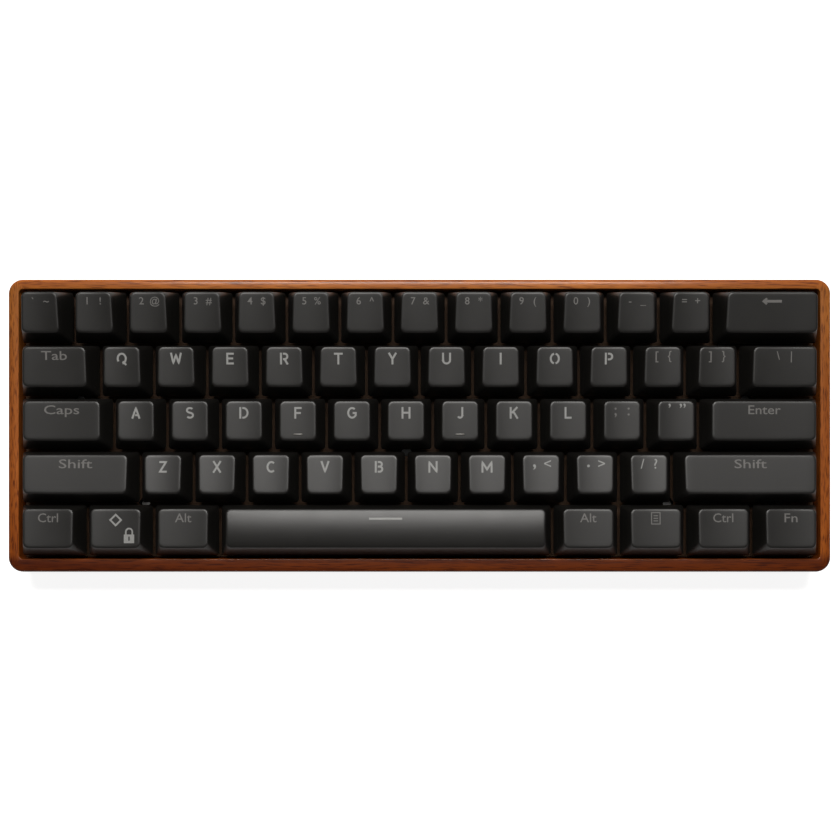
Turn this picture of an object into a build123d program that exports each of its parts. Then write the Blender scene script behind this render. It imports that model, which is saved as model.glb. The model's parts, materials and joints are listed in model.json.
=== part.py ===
"""A 60 % mechanical keyboard: 61 sprung keys on a plate in a wedge-shaped wooden tray case.

Millimetres, +X to the right, +Y to the back, +Z up. The origin is on the desk, under the
middle of the case. Everything above the case's floor is laid out on the deck, a plane that
leans back by the typing angle: its height 0 is the top face of the switch plate.
"""
from build123d import *
import os
from math import atan, asin, cos, degrees, radians, sin, tan

os.makedirs("parts", exist_ok=True)

# --- Driving sizes -----------------------------------------------------------------------
pitch = 19.05                # one key unit, across and along
typing_angle = 5.0           # lean of the deck, in degrees
travel = 4.0                 # how far a key goes down

# Case
side_rim = 3.9
back_rim = 3.5
front_rim = 4.7
pocket_gap = 0.75            # between the key field and the pocket's walls
pocket_corner = 1.5
case_corner = 5.2
case_edge = 0.8              # broken edge round the rim
rim_height = 7.0             # above the plate
front_height = 20.0          # of the case, from its base to its rim
floor_gap = 3.6              # under the circuit board
post_size = 6.5

# Plate, board and switches
plate_thickness = 1.5
plate_edge_gap = 0.5
board_thickness = 1.6
board_drop = 5.0             # board's top face, below the plate's top face
switch_body = 13.9
switch_cutout = 14.0
switch_foot = 15.6
switch_crown = 11.0
switch_height = 6.6
switch_well = 5.3            # opening that the slider and the keycap's post go down
well_floor = 0.2             # above the plate

# Keycaps: heights are from the skirt's lower edge to the middle of the top
cap_gap = 0.95               # between neighbouring skirts
cap_wall = 1.5
cap_lift = 6.0               # skirt's lower edge, above the plate
cap_top_width = 12.9
cap_top_depth = 14.0
cap_top_set_back = 0.8
cap_dish = 0.45              # depth of the hollow in the top
cap_roof = 1.6
cap_blank = 3.0              # left above the top's middle, for the top's cut to take off
cap_post = 5.0
row_heights = {"number": 10.6, "upper": 9.3, "home": 8.7, "lower": 8.8, "bottom": 8.8}
row_tilts = {"number": 7.0, "upper": 4.0, "home": 0.5, "lower": -4.0, "bottom": -4.0}
space_bulge = 0.9            # how far the space bar's top rises at its middle

# Cross stem
cross_span = 4.0
cross_blade = 1.25
cross_height = 3.6
cross_gap = 0.03             # between the cross and its socket
slider_reach = 2.2           # length of the slider that stays in the housing at rest
post_gap = 0.1               # between a keycap's post and the slider's shoulder

# Stabilisers
stabiliser_spread = 11.94    # from the switch to each stem, on keys of 2 to 2.75 units
space_spread = 50.0
wire_diameter = 1.5
wire_gap = 0.1               # round the wire in its holders, and above the plate
wire_set_forward = 8.5       # wire's axis, in front of the stems
wire_end_gap = 0.4           # from the wire's end to the middle of the stem
wire_slot = 2.1              # slot that each arm of the wire swings in
arm_sides = 6                # a wire's arms are drawn six-sided, its turning bar is round
stem_width = 5.0
stem_depth = 3.6
stem_foot = -0.6
stem_slot_bottom = 1.4
stem_slot_height = 2.8
stem_slot_depth = 2.4
guide_gap = 0.15             # round the stem in its holder
holder_width = 6.6
holder_front = 8.2           # of the part that goes down through the plate
holder_nose = 9.6            # of the part that lies on the plate and holds the wire
holder_back = 4.0
holder_top = 1.65
holder_bottom = -4.0
holder_gap = 0.1             # round the holder in the plate

# Fasteners, feet and the socket for the cable
screw_head = 3.8
screw_head_height = 1.3
screw_core = 1.9
screw_length = 7.0
screw_gap = 0.05
screw_sides = 6              # screws and their holes are drawn six-sided
driver_hole = 4.2
foot_length = 20.0
foot_width = 8.0
foot_height = 2.0
foot_inset = 16.0
usb_x = -125.0
usb_width = 8.94
usb_height = 3.16
usb_length = 7.4
usb_overhang = 0.5
usb_wall = 0.35
usb_corner = 0.9
usb_tongue_width = 6.7
usb_tongue = 0.7
usb_window_width = 14.0
usb_window_height = 8.0
chip_size = 10.0
chip_thickness = 1.2
chip_offset = 32.0           # to the right of the socket

# --- Layout ------------------------------------------------------------------------------
rows = {
    "number": [("grave", 1), ("1", 1), ("2", 1), ("3", 1), ("4", 1), ("5", 1), ("6", 1), ("7", 1),
               ("8", 1), ("9", 1), ("0", 1), ("minus", 1), ("equals", 1), ("backspace", 2)],
    "upper": [("tab", 1.5), ("q", 1), ("w", 1), ("e", 1), ("r", 1), ("t", 1), ("y", 1), ("u", 1),
              ("i", 1), ("o", 1), ("p", 1), ("left_bracket", 1), ("right_bracket", 1),
              ("backslash", 1.5)],
    "home": [("caps_lock", 1.75), ("a", 1), ("s", 1), ("d", 1), ("f", 1), ("g", 1), ("h", 1),
             ("j", 1), ("k", 1), ("l", 1), ("semicolon", 1), ("quote", 1), ("enter", 2.25)],
    "lower": [("left_shift", 2.25), ("z", 1), ("x", 1), ("c", 1), ("v", 1), ("b", 1), ("n", 1),
              ("m", 1), ("comma", 1), ("full_stop", 1), ("slash", 1), ("right_shift", 2.75)],
    "bottom": [("left_ctrl", 1.25), ("left_system", 1.25), ("left_alt", 1.25), ("space", 6.25),
               ("right_alt", 1.25), ("menu", 1.25), ("right_ctrl", 1.25), ("fn", 1.25)],
}
groups = {
    "number_keys_left": ["grave", "1", "2", "3", "4", "5", "6"],
    "number_keys_right": ["7", "8", "9", "0", "minus", "equals"],
    "left_modifier_keys": ["left_ctrl", "left_system", "left_alt"],
    "right_modifier_keys": ["right_alt", "menu", "right_ctrl", "fn"],
}
stabilised = {"backspace": stabiliser_spread, "enter": stabiliser_spread,
              "left_shift": stabiliser_spread, "right_shift": stabiliser_spread,
              "space": space_spread}

field_width = sum(units for _, units in rows["number"]) * pitch
field_depth = len(rows) * pitch

keys = {}                    # name: (row, units, x, distance up the deck)
for row_number, (row, row_keys) in enumerate(rows.items()):
    left_edge = -field_width / 2
    for name, units in row_keys:
        middle = left_edge + units * pitch / 2
        keys[name] = (row, units, middle, field_depth / 2 - (row_number + 0.5) * pitch)
        left_edge += units * pitch

pocket_width = field_width + 2 * pocket_gap
pocket_depth = field_depth + 2 * pocket_gap
case_width = pocket_width + 2 * side_rim
case_depth = pocket_depth + back_rim + front_rim
case_middle = (back_rim - front_rim) / 2

# The deck's origin is placed so that the case stands on its feet with its box centred.
lean = radians(typing_angle)
front_drop = front_height - rim_height
case_front = case_middle - case_depth / 2
case_back = case_middle + case_depth / 2
back_drop = front_drop + case_depth * tan(lean)
reach_front = case_front * cos(lean) - rim_height * sin(lean)
reach_back = case_back * cos(lean) + back_drop * sin(lean)
deck = Plane(
    origin=(0, -(reach_front + reach_back) / 2,
            foot_height - case_front * sin(lean) + front_drop * cos(lean)),
    x_dir=(1, 0, 0),
    z_dir=(0, -sin(lean), cos(lean)),
)
board_underside = -board_drop - board_thickness
pocket_floor = board_underside - floor_gap
screw_spots = [(-6.5 * pitch, pitch / 2), (6.25 * pitch, pitch / 2), (-0.25 * pitch, -pitch / 2),
               (-5.25 * pitch, -1.5 * pitch), (4.75 * pitch, -1.5 * pitch)]


def stem_offsets(name):
    """How far a key's stems are from its middle: its switch, then its two stabilisers."""
    if name not in stabilised:
        return [0]
    return [0, -stabilised[name], stabilised[name]]


switch_spots = [(x, up) for _, _, x, up in keys.values()]
stabiliser_spots = [(keys[name][2] + side, keys[name][3])
                    for name in stabilised for side in stem_offsets(name)[1:]]

# --- Wooden case: a solid wedge with a pocket milled along the deck ------------------------
usb_height_on_deck = board_underside - usb_height / 2
usb_plane = Plane(
    origin=deck.from_local_coords((usb_x, pocket_depth / 2, usb_height_on_deck)),
    x_dir=(1, 0, 0),
    z_dir=-deck.y_dir,
)

with BuildPart() as case:
    with BuildSketch(deck.offset(rim_height)):
        with Locations((0, case_middle)):
            RectangleRounded(case_width, case_depth, case_corner)
    extrude(amount=-(rim_height + back_drop + foot_height))
    split(bisect_by=Plane.XY.offset(foot_height), keep=Keep.TOP)
    rim = case.faces().sort_by(Axis(deck.origin, deck.z_dir))[-1]
    chamfer(rim.edges(), case_edge)
    with BuildSketch(deck.offset(rim_height)):
        RectangleRounded(pocket_width, pocket_depth, pocket_corner)
    extrude(amount=pocket_floor - rim_height, mode=Mode.SUBTRACT)
    with BuildSketch(deck.offset(pocket_floor)):
        with Locations(*screw_spots):
            Rectangle(post_size, post_size)
    extrude(amount=floor_gap)
    with BuildSketch(deck.offset(board_underside)):
        with Locations(*screw_spots):
            RegularPolygon(screw_core / 2 + screw_gap, screw_sides)
    extrude(amount=board_thickness - screw_length - screw_gap, mode=Mode.SUBTRACT)
    with BuildSketch(usb_plane):
        Rectangle(usb_window_width, usb_window_height)
    extrude(amount=-(back_rim + usb_overhang), mode=Mode.SUBTRACT)
case.part.label = "case"
export_step(case.part, "parts/case.step")

foot_spots = [(side * (case_width / 2 - foot_inset), end * (case_depth / 2 - foot_inset))
              for side in (-1, 1) for end in (-1, 1)]
with BuildPart() as rubber_feet:
    with BuildSketch():
        with Locations(*foot_spots):
            Rectangle(foot_length, foot_width)
    extrude(amount=foot_height)
rubber_feet.part.label = "rubber_feet"
export_step(rubber_feet.part, "parts/rubber_feet.step")

# --- Circuit board, its cable socket and controller ----------------------------------------
field_inside = (pocket_width - 2 * plate_edge_gap, pocket_depth - 2 * plate_edge_gap)

with BuildPart() as circuit_board:
    with BuildSketch(deck.offset(board_underside)):
        Rectangle(*field_inside)
        with Locations(*screw_spots):
            RegularPolygon(screw_core / 2 + screw_gap, screw_sides, mode=Mode.SUBTRACT)
    extrude(amount=board_thickness)
circuit_board.part.label = "circuit_board"
export_step(circuit_board.part, "parts/circuit_board.step")

with BuildPart() as usb_socket:
    with BuildSketch(usb_plane.offset(-usb_overhang)) as shell:
        Rectangle(usb_width, usb_height)
        chamfer(shell.vertices(), usb_corner)
    extrude(amount=usb_length)
    with BuildSketch(usb_plane.offset(-usb_overhang)) as mouth:
        Rectangle(usb_width - 2 * usb_wall, usb_height - 2 * usb_wall)
        chamfer(mouth.vertices(), usb_corner - usb_wall / 2)
        Rectangle(usb_tongue_width, usb_tongue, mode=Mode.SUBTRACT)
    extrude(amount=usb_length - 2 * usb_wall, mode=Mode.SUBTRACT)
usb_socket.part.label = "usb_socket"
export_step(usb_socket.part, "parts/usb_socket.step")

with BuildPart() as controller_chip:
    with BuildSketch(deck.offset(board_underside)):
        with Locations((usb_x + chip_offset, 0)):
            Rectangle(chip_size, chip_size)
    extrude(amount=-chip_thickness)
controller_chip.part.label = "controller_chip"
export_step(controller_chip.part, "parts/controller_chip.step")

with BuildPart() as case_screws:
    with BuildSketch(deck.offset(-board_drop)):
        with Locations(*screw_spots):
            RegularPolygon(screw_core / 2, screw_sides)
    extrude(amount=-screw_length)
    with BuildSketch(deck.offset(-board_drop)):
        with Locations(*screw_spots):
            RegularPolygon(screw_head / 2, screw_sides)
    extrude(amount=screw_head_height)
case_screws.part.label = "case_screws"
export_step(case_screws.part, "parts/case_screws.step")

# --- Switch plate ----------------------------------------------------------------------------
with BuildPart() as switch_plate:
    with BuildSketch(deck.offset(-plate_thickness)):
        Rectangle(*field_inside)
        with Locations(*switch_spots):
            Rectangle(switch_cutout, switch_cutout, mode=Mode.SUBTRACT)
        with Locations(*stabiliser_spots):
            with Locations((0, -holder_front - holder_gap)):
                Rectangle(holder_width + 2 * holder_gap,
                          holder_front + holder_back + 2 * holder_gap,
                          align=(Align.CENTER, Align.MIN), mode=Mode.SUBTRACT)
        with Locations(*screw_spots):
            RegularPolygon(driver_hole / 2, screw_sides, mode=Mode.SUBTRACT)
    extrude(amount=plate_thickness)
switch_plate.part.label = "switch_plate"
export_step(switch_plate.part, "parts/switch_plate.step")

# --- Switches: a lower housing through the plate, an upper housing on it ---------------------
with BuildPart() as switch_bottoms:
    with BuildSketch(deck.offset(-board_drop)):
        with Locations(*switch_spots):
            Rectangle(switch_body, switch_body)
    extrude(amount=board_drop)
switch_bottoms.part.label = "switch_bottoms"
export_step(switch_bottoms.part, "parts/switch_bottoms.step")

crown_taper = degrees(atan((switch_foot - switch_crown) / 2 / switch_height))
with BuildPart() as switch_tops:
    with BuildSketch(deck):
        with Locations(*switch_spots):
            Rectangle(switch_foot, switch_foot)
    extrude(amount=switch_height, taper=crown_taper)
    with BuildSketch(deck.offset(well_floor)):
        with Locations(*switch_spots):
            Rectangle(switch_well, switch_well)
    extrude(amount=switch_height - well_floor, mode=Mode.SUBTRACT)
switch_tops.part.label = "switch_tops"
export_step(switch_tops.part, "parts/switch_tops.step")


# --- Keycaps and sliders -----------------------------------------------------------------------
def keycap(row, units, offsets, bulge=0.0):
    """A tapered, hollow cap with a tilted and dished top, and a socket over each stem."""
    height = row_heights[row]
    tilt = radians(row_tilts[row])
    skirt_width = units * pitch - cap_gap
    skirt_depth = pitch - cap_gap
    top_width = cap_top_width + (units - 1) * pitch
    side_slope = (skirt_width - top_width) / 2 / height
    front_slope = (skirt_depth / 2 - cap_top_depth / 2 + cap_top_set_back) / height
    back_slope = (skirt_depth / 2 - cap_top_depth / 2 - cap_top_set_back) / height
    crown = Plane(origin=(0, cap_top_set_back, cap_lift + height), x_dir=(1, 0, 0),
                  z_dir=(0, -sin(tilt), cos(tilt)))
    reach = height + cap_blank
    with BuildPart() as cap:
        with BuildSketch(Plane.YZ.offset(-skirt_width / 2)):
            Polygon((-skirt_depth / 2, cap_lift), (skirt_depth / 2, cap_lift),
                    (skirt_depth / 2 - back_slope * reach, cap_lift + reach),
                    (-skirt_depth / 2 + front_slope * reach, cap_lift + reach), align=None)
        extrude(amount=skirt_width)
        with BuildSketch(Plane.XZ.offset(-skirt_depth / 2)):
            Polygon((-skirt_width / 2, cap_lift), (skirt_width / 2, cap_lift),
                    (skirt_width / 2 - side_slope * reach, cap_lift + reach),
                    (-skirt_width / 2 + side_slope * reach, cap_lift + reach), align=None)
        extrude(amount=skirt_depth, mode=Mode.INTERSECT)
        if bulge:
            radius = cap_top_depth ** 2 / (8 * bulge)
            with BuildSketch(Plane(crown.origin, x_dir=crown.y_dir, z_dir=(1, 0, 0))):
                with Locations((0, bulge - radius)):
                    Circle(radius)
            extrude(amount=skirt_width / 2, both=True, mode=Mode.INTERSECT)
        else:
            radius = top_width ** 2 / (8 * cap_dish)
            with BuildSketch(Plane(crown.origin, x_dir=(1, 0, 0), z_dir=-crown.y_dir)):
                with Locations((0, radius - cap_dish)):
                    Circle(radius)
            extrude(amount=skirt_depth, both=True, mode=Mode.SUBTRACT)
        ceiling = height - cap_roof - cap_dish - cap_top_depth / 2 * abs(sin(tilt))
        with BuildSketch(Plane.XY.offset(cap_lift)):
            Rectangle(skirt_width - 2 * cap_wall, skirt_depth - 2 * cap_wall)
        extrude(amount=ceiling, taper=degrees(atan(side_slope)), mode=Mode.SUBTRACT)
        with BuildSketch(Plane.XY.offset(switch_height + post_gap)):
            with Locations(*[(offset, 0) for offset in offsets]):
                Rectangle(cap_post, cap_post)
        extrude(amount=cap_lift + ceiling - switch_height - post_gap)
        with BuildSketch(Plane.XY.offset(switch_height + post_gap)):
            with Locations(*[(offset, 0) for offset in offsets]):
                Rectangle(cross_span + 2 * cross_gap, cross_span + 2 * cross_gap)
        extrude(amount=cross_height, mode=Mode.SUBTRACT)
    return cap.part


def slider(offsets):
    """The moving part of a switch: a cross that stands up out of its housing.

    A stabiliser's stem has the same cross, on a block with a slot in front for the wire.
    """
    sides = [(offset, 0) for offset in offsets[1:]]
    with BuildPart() as moving:
        with BuildSketch(Plane.XY.offset(switch_height - slider_reach)):
            Rectangle(cross_span, cross_blade)
            Rectangle(cross_blade, cross_span)
        extrude(amount=slider_reach + cross_height)
        if sides:
            with BuildSketch(Plane.XY.offset(stem_foot)):
                with Locations(*sides):
                    Rectangle(stem_width, stem_depth)
            extrude(amount=switch_height - stem_foot)
            with BuildSketch(Plane.XY.offset(stem_slot_bottom)):
                with Locations(*[(x, -stem_depth / 2) for x, _ in sides]):
                    Rectangle(wire_slot, stem_slot_depth, align=(Align.CENTER, Align.MIN))
            extrude(amount=stem_slot_height, mode=Mode.SUBTRACT)
            with BuildSketch(Plane.XY.offset(switch_height)):
                with Locations(*sides):
                    Rectangle(cross_span, cross_blade)
                    Rectangle(cross_blade, cross_span)
            extrude(amount=cross_height)
    return moving.part


made = {}


def key_pieces(name):
    """Keycap and slider of a key, made once for each size, row and stabiliser."""
    row, units, _, _ = keys[name]
    offsets = stem_offsets(name)
    kind = (row, units, len(offsets))
    if kind not in made:
        bulge = space_bulge if name == "space" else 0.0
        made[kind] = [keycap(row, units, offsets, bulge), slider(offsets)]
    return made[kind]


grouped = [name for members in groups.values() for name in members]
key_nodes = {"key_" + name: [name] for name in keys if name not in grouped}
key_nodes.update(groups)

for node, members in key_nodes.items():
    with BuildPart() as key:
        for name in members:
            _, _, x, up = keys[name]
            with Locations(deck.location * Location((x, up, 0))):
                for piece in key_pieces(name):
                    add(piece)
    key.part.label = node
    export_step(key.part, f"parts/{node}.step")


# --- Stabilisers: a wire that keeps both ends of a long key level --------------------------------
wire_axis_height = wire_gap + wire_diameter / 2
arm_length = wire_set_forward - wire_end_gap
arm_lift = asin(travel / 2 / arm_length)

with BuildPart() as holder:
    with BuildSketch(Plane.XY.offset(holder_bottom)):
        with Locations((0, -holder_front)):
            Rectangle(holder_width, holder_front + holder_back, align=(Align.CENTER, Align.MIN))
    extrude(amount=-holder_bottom)
    with BuildSketch():
        with Locations((0, -holder_nose)):
            Rectangle(holder_width, holder_nose + holder_back, align=(Align.CENTER, Align.MIN))
    extrude(amount=holder_top)
    with BuildSketch(Plane.XY.offset(holder_bottom)):
        Rectangle(stem_width + 2 * guide_gap, stem_depth + 2 * guide_gap)
    extrude(amount=holder_top - holder_bottom, mode=Mode.SUBTRACT)
    with BuildSketch(Plane.XY.offset(holder_top)):
        with Locations((0, -wire_set_forward - wire_diameter / 2 - wire_gap)):
            Rectangle(wire_slot, wire_set_forward, align=(Align.CENTER, Align.MIN))
    extrude(amount=-holder_top, mode=Mode.SUBTRACT)
    with BuildSketch():
        with Locations((0, -holder_front + wire_gap)):
            Rectangle(wire_slot, holder_front - wire_gap, align=(Align.CENTER, Align.MIN))
    extrude(amount=wire_axis_height - travel / 2 - wire_diameter, mode=Mode.SUBTRACT)

groove_width = wire_diameter + 2 * wire_gap
with BuildPart() as stabiliser_holders:
    for name, spread in stabilised.items():
        _, _, x, up = keys[name]
        for side in (-spread, spread):
            with Locations(deck.location * Location((x + side, up, 0))):
                add(holder.part)
        with BuildSketch(deck):
            with Locations((x, up - wire_set_forward)):
                Rectangle(2 * spread, groove_width)
        extrude(amount=holder_top, mode=Mode.SUBTRACT)
stabiliser_holders.part.label = "stabiliser_holders"
export_step(stabiliser_holders.part, "parts/stabiliser_holders.step")

for name, spread in stabilised.items():
    _, _, x, up = keys[name]
    pivot = Plane(origin=deck.from_local_coords((x, up - wire_set_forward, wire_axis_height)),
                  x_dir=(1, 0, 0), z_dir=deck.z_dir)
    arm = pivot.rotated((degrees(arm_lift), 0, 0))
    with BuildPart() as wire:
        with BuildSketch(Plane(pivot.origin, x_dir=pivot.y_dir, z_dir=pivot.x_dir)):
            Circle(wire_diameter / 2)
        extrude(amount=spread, both=True)
        with BuildSketch(Plane(arm.origin, x_dir=arm.x_dir, z_dir=arm.y_dir)):
            with Locations((-spread, 0), (spread, 0)):
                RegularPolygon(wire_diameter / 2, arm_sides)
        extrude(amount=arm_length)
    wire.part.label = f"{name}_wire"
    export_step(wire.part, f"parts/{name}_wire.step")
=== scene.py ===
"""A mechanical keyboard: 61 dark keycaps on a brown plate, in a wooden tray case."""

import json
import math

import bmesh
import bpy
from mathutils import Matrix, Vector


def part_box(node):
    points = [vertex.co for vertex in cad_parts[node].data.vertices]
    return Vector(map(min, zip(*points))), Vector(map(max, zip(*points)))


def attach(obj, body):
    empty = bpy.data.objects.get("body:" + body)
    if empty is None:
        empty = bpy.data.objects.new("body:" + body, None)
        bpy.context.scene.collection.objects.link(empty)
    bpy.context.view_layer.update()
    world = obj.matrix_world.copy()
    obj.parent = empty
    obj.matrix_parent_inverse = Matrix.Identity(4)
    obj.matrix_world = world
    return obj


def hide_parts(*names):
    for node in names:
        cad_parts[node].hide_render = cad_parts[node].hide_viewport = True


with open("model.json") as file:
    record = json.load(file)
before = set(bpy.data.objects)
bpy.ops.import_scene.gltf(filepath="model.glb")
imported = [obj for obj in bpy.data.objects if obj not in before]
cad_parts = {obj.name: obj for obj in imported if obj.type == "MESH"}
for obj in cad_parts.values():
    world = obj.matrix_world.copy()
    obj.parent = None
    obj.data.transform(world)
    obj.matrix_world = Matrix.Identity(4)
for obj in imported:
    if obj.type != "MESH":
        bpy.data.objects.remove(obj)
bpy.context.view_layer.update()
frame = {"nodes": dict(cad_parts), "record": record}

# --- Wooden case ------------------------------------------------------------------------------
# A tray of four walnut rails, mitred at the corners round a walnut base, sanded and oiled. The
# rim leans back with the keys by the typing angle, the pocket takes the plate and the circuit
# board, and a window in the back rail lets the cable in.
mm = 0.001
nodes = frame["nodes"]
presses = {joint["name"]: joint for joint in frame["record"]["behaviour"]["joints"]}

# the deck is the plate's top face: keys travel square to it
plate_thickness = 1.5 * mm
deck_up = -Vector(presses["q_press"]["axis"]).normalized()
deck_back = deck_up.cross(Vector((1, 0, 0)))
plate_low, plate_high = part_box("switch_plate")
deck_origin = (plate_low + plate_high) / 2 + deck_up * plate_thickness / 2
deck = Matrix.Translation(deck_origin) @ Matrix((
    (1, deck_back.x, deck_up.x),
    (0, deck_back.y, deck_up.y),
    (0, deck_back.z, deck_up.z),
)).to_4x4()


def deck_points(node):
    """A node's points, measured along the deck from the middle of the plate."""
    to_deck = deck.inverted()
    return [to_deck @ vertex.co for vertex in nodes[node].data.vertices]


def srgb(code):
    """Linear colour of an sRGB hex value."""
    channels = [int(code[at:at + 2], 16) / 255 for at in (1, 3, 5)]
    return [c / 12.92 if c <= 0.04045 else ((c + 0.055) / 1.055) ** 2.4 for c in channels] + [1]


def add(tree, kind, inputs=(), stops=(), **settings):
    """Adds one shader node; inputs name a socket and its value, or the output that feeds it."""
    made = tree.nodes.new(kind)
    for setting, value in settings.items():
        setattr(made, setting, value)
    for socket, value in dict(inputs).items():
        if isinstance(value, bpy.types.NodeSocket):
            tree.links.new(value, made.inputs[socket])
        else:
            made.inputs[socket].default_value = value
    # a new ramp has a stop at each end, and those between are put in where they belong
    for position, _ in stops[1:-1]:
        made.color_ramp.elements.new(position)
    for at, (position, colour) in enumerate(stops):
        made.color_ramp.elements[at].position = position
        made.color_ramp.elements[at].color = srgb(colour)
    return made.outputs


def new_material(name, roughness=0.5, metallic=0.0):
    """A material, its node tree and its shader's sockets."""
    made = bpy.data.materials.new(name)
    made.use_nodes = True
    shader = made.node_tree.nodes["Principled BSDF"]
    shader.inputs["Roughness"].default_value = roughness
    shader.inputs["Metallic"].default_value = metallic
    return made, made.node_tree, shader.inputs


def piece(name, mesh, place, body, slot, *replaced):
    """Adds a mesh, moved to its place, as a piece of a body; the slot it is given is not used."""
    mesh.transform(place)
    made = bpy.data.objects.new(name, mesh)
    bpy.context.collection.objects.link(made)
    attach(made, body)
    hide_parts(*replaced)
    return made


def rounded_ring(half, front, back, radius, corner_steps=4, across=1, along=1):
    """Points round a rectangle with rounded corners, anticlockwise from above."""
    centres = [(half - radius, back - radius), (radius - half, back - radius),
               (radius - half, front + radius), (half - radius, front + radius)]
    arcs = []
    for turn, (x, y) in enumerate(centres):
        angles = [math.pi / 2 * (turn + step / corner_steps) for step in range(corner_steps + 1)]
        arcs.append([(x + radius * math.cos(a), y + radius * math.sin(a)) for a in angles])
    points = []
    for turn, arc in enumerate(arcs):
        points += arc
        (x0, y0), (x1, y1) = arc[-1], arcs[(turn + 1) % 4][0]
        steps = along if turn % 2 else across
        points += [(x0 + (x1 - x0) * step / steps, y0 + (y1 - y0) * step / steps)
                   for step in range(1, steps)]
    return points


def skin(work, rings):
    """Joins rings of equally many points by quads, and returns the rings' vertices."""
    laid = [[work.verts.new(point) for point in ring] for ring in rings]
    for lower, upper in zip(laid, laid[1:]):
        for at in range(len(lower)):
            after = (at + 1) % len(lower)
            work.faces.new((lower[at], lower[after], upper[after], upper[at]))
    return laid


def shade(mesh, sharp_degrees=35):
    """Shades a mesh smooth but for the edges that turn sharply."""
    mesh.shade_smooth()
    mesh.set_sharp_from_angle(angle=math.radians(sharp_degrees))
    return mesh


def plain_mesh(work, name):
    """The mesh of what was built."""
    mesh = bpy.data.meshes.new(name)
    work.to_mesh(mesh)
    work.free()
    return mesh


def cut_from(mesh, cutter, name):
    """The mesh with another mesh's volume cut away."""
    whole = bpy.data.objects.new(name, mesh)
    tool = bpy.data.objects.new(name + "_cutter", cutter)
    for held in (whole, tool):
        bpy.context.collection.objects.link(held)
    cut = whole.modifiers.new("cut", "BOOLEAN")
    cut.operation = "DIFFERENCE"
    cut.solver = "EXACT"
    cut.object = tool
    evaluated = whole.evaluated_get(bpy.context.evaluated_depsgraph_get())
    result = bpy.data.meshes.new_from_object(evaluated)
    for held in (whole, tool):
        bpy.data.objects.remove(held)
    return result


case_points = deck_points("case")
case_half = max(p.x for p in case_points)
case_front = min(p.y for p in case_points)
case_back = max(p.y for p in case_points)
rim = max(p.z for p in case_points)
board_points = deck_points("circuit_board")
board_edge_gap = 0.5 * mm
pocket_half = max(p.x for p in board_points) + board_edge_gap
pocket_back = max(p.y for p in board_points) + board_edge_gap
floor_gap = 3.6 * mm
pocket_floor = min(p.z for p in board_points) - floor_gap
case_corner = 5.2 * mm
pocket_corner = 1.5 * mm
outer_easing = 1.2 * mm
inner_easing = 0.3 * mm
base_easing = 0.5 * mm
easing_steps = 5
foot_height = 2 * mm
case_steps = {"corner_steps": 12, "across": 24, "along": 8}


def base_level(y):
    """Height on the deck of the case's level underside."""
    return (foot_height - deck_origin.z - y * deck_back.z) / deck_up.z


def outer_ring(inset):
    return rounded_ring(case_half - inset, case_front + inset, case_back - inset,
                        case_corner - inset, **case_steps)


def pocket_ring(inset):
    return rounded_ring(pocket_half - inset, inset - pocket_back, pocket_back - inset,
                        pocket_corner - inset, **case_steps)


easing = [math.pi / 2 * step / easing_steps for step in range(easing_steps + 1)]
case_rings = [[(x, y, base_level(y) + base_easing * (1 - math.cos(turn)))
               for x, y in outer_ring(base_easing * (1 - math.sin(turn)))] for turn in easing]
case_rings += [[(x, y, rim - outer_easing * (1 - math.sin(turn)))
                for x, y in outer_ring(outer_easing * (1 - math.cos(turn)))] for turn in easing]
case_rings += [[(x, y, rim - inner_easing * (1 - math.cos(turn)))
                for x, y in pocket_ring(inner_easing * (math.sin(turn) - 1))] for turn in easing]
case_rings += [[(x, y, pocket_floor) for x, y in pocket_ring(0)]]
case_work = bmesh.new()
case_laid = skin(case_work, case_rings)
case_work.faces.new(reversed(case_laid[0]))
case_work.faces.new(case_laid[-1])

# the screws' posts stand on the pocket's floor
post_size = 6.5 * mm
post_corner = 1 * mm
post_spots = []
for p in deck_points("case_screws"):
    near = [spot for spot in post_spots if (spot[0] - p.xy).length < post_size]
    if near:
        near[0].append(p.xy)
    else:
        post_spots.append([p.xy])
post_top = min(p.z for p in board_points)
for spot in post_spots:
    low = Vector(map(min, zip(*spot)))
    high = Vector(map(max, zip(*spot)))
    x, y = (low + high) / 2
    ring = rounded_ring(post_size / 2, -post_size / 2, post_size / 2, post_corner)
    post = skin(case_work, [[(x + px, y + py, level) for px, py in ring]
                            for level in (pocket_floor, post_top)])
    case_work.faces.new(post[-1])
bmesh.ops.recalc_face_normals(case_work, faces=case_work.faces)
solid_case = shade(plain_mesh(case_work, "walnut_tray"))

window_width = 14 * mm
window_height = 8 * mm
window_corner = 2.2 * mm
cutter_overrun = 2 * mm
socket_points = deck_points("usb_socket")
socket_x = (min(p.x for p in socket_points) + max(p.x for p in socket_points)) / 2
socket_z = (min(p.z for p in socket_points) + max(p.z for p in socket_points)) / 2
window_work = bmesh.new()
window_ring = rounded_ring(window_width / 2, -window_height / 2, window_height / 2,
                           window_corner, corner_steps=8)
window_laid = skin(window_work, [[(socket_x + x, y, socket_z + z) for x, z in window_ring]
                                 for y in (pocket_back - cutter_overrun,
                                           case_back + cutter_overrun)])
window_work.faces.new(window_laid[0])
window_work.faces.new(reversed(window_laid[1]))
bmesh.ops.recalc_face_normals(window_work, faces=window_work.faces)
case_mesh = cut_from(solid_case, plain_mesh(window_work, "cable_window"), "tray_with_window")
case = piece("wooden_case", shade(case_mesh), deck, "keyboard_base", "walnut", "case")

# Oiled walnut: long brown bands with dark open pores, darker and redder at the front rail and
# lighter at the back rail by painted shade and painted light. Oil leaves a low, slightly uneven
# shine.
walnut, tree, shader = new_material("oiled_walnut")
shader["Specular IOR Level"].default_value = 0.12
shader["Coat Weight"].default_value = 0.3
shader["Coat Roughness"].default_value = 0.16
place = add(tree, "ShaderNodeTexCoord")["Object"]
axes = add(tree, "ShaderNodeSeparateXYZ", {"Vector": place})
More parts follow.
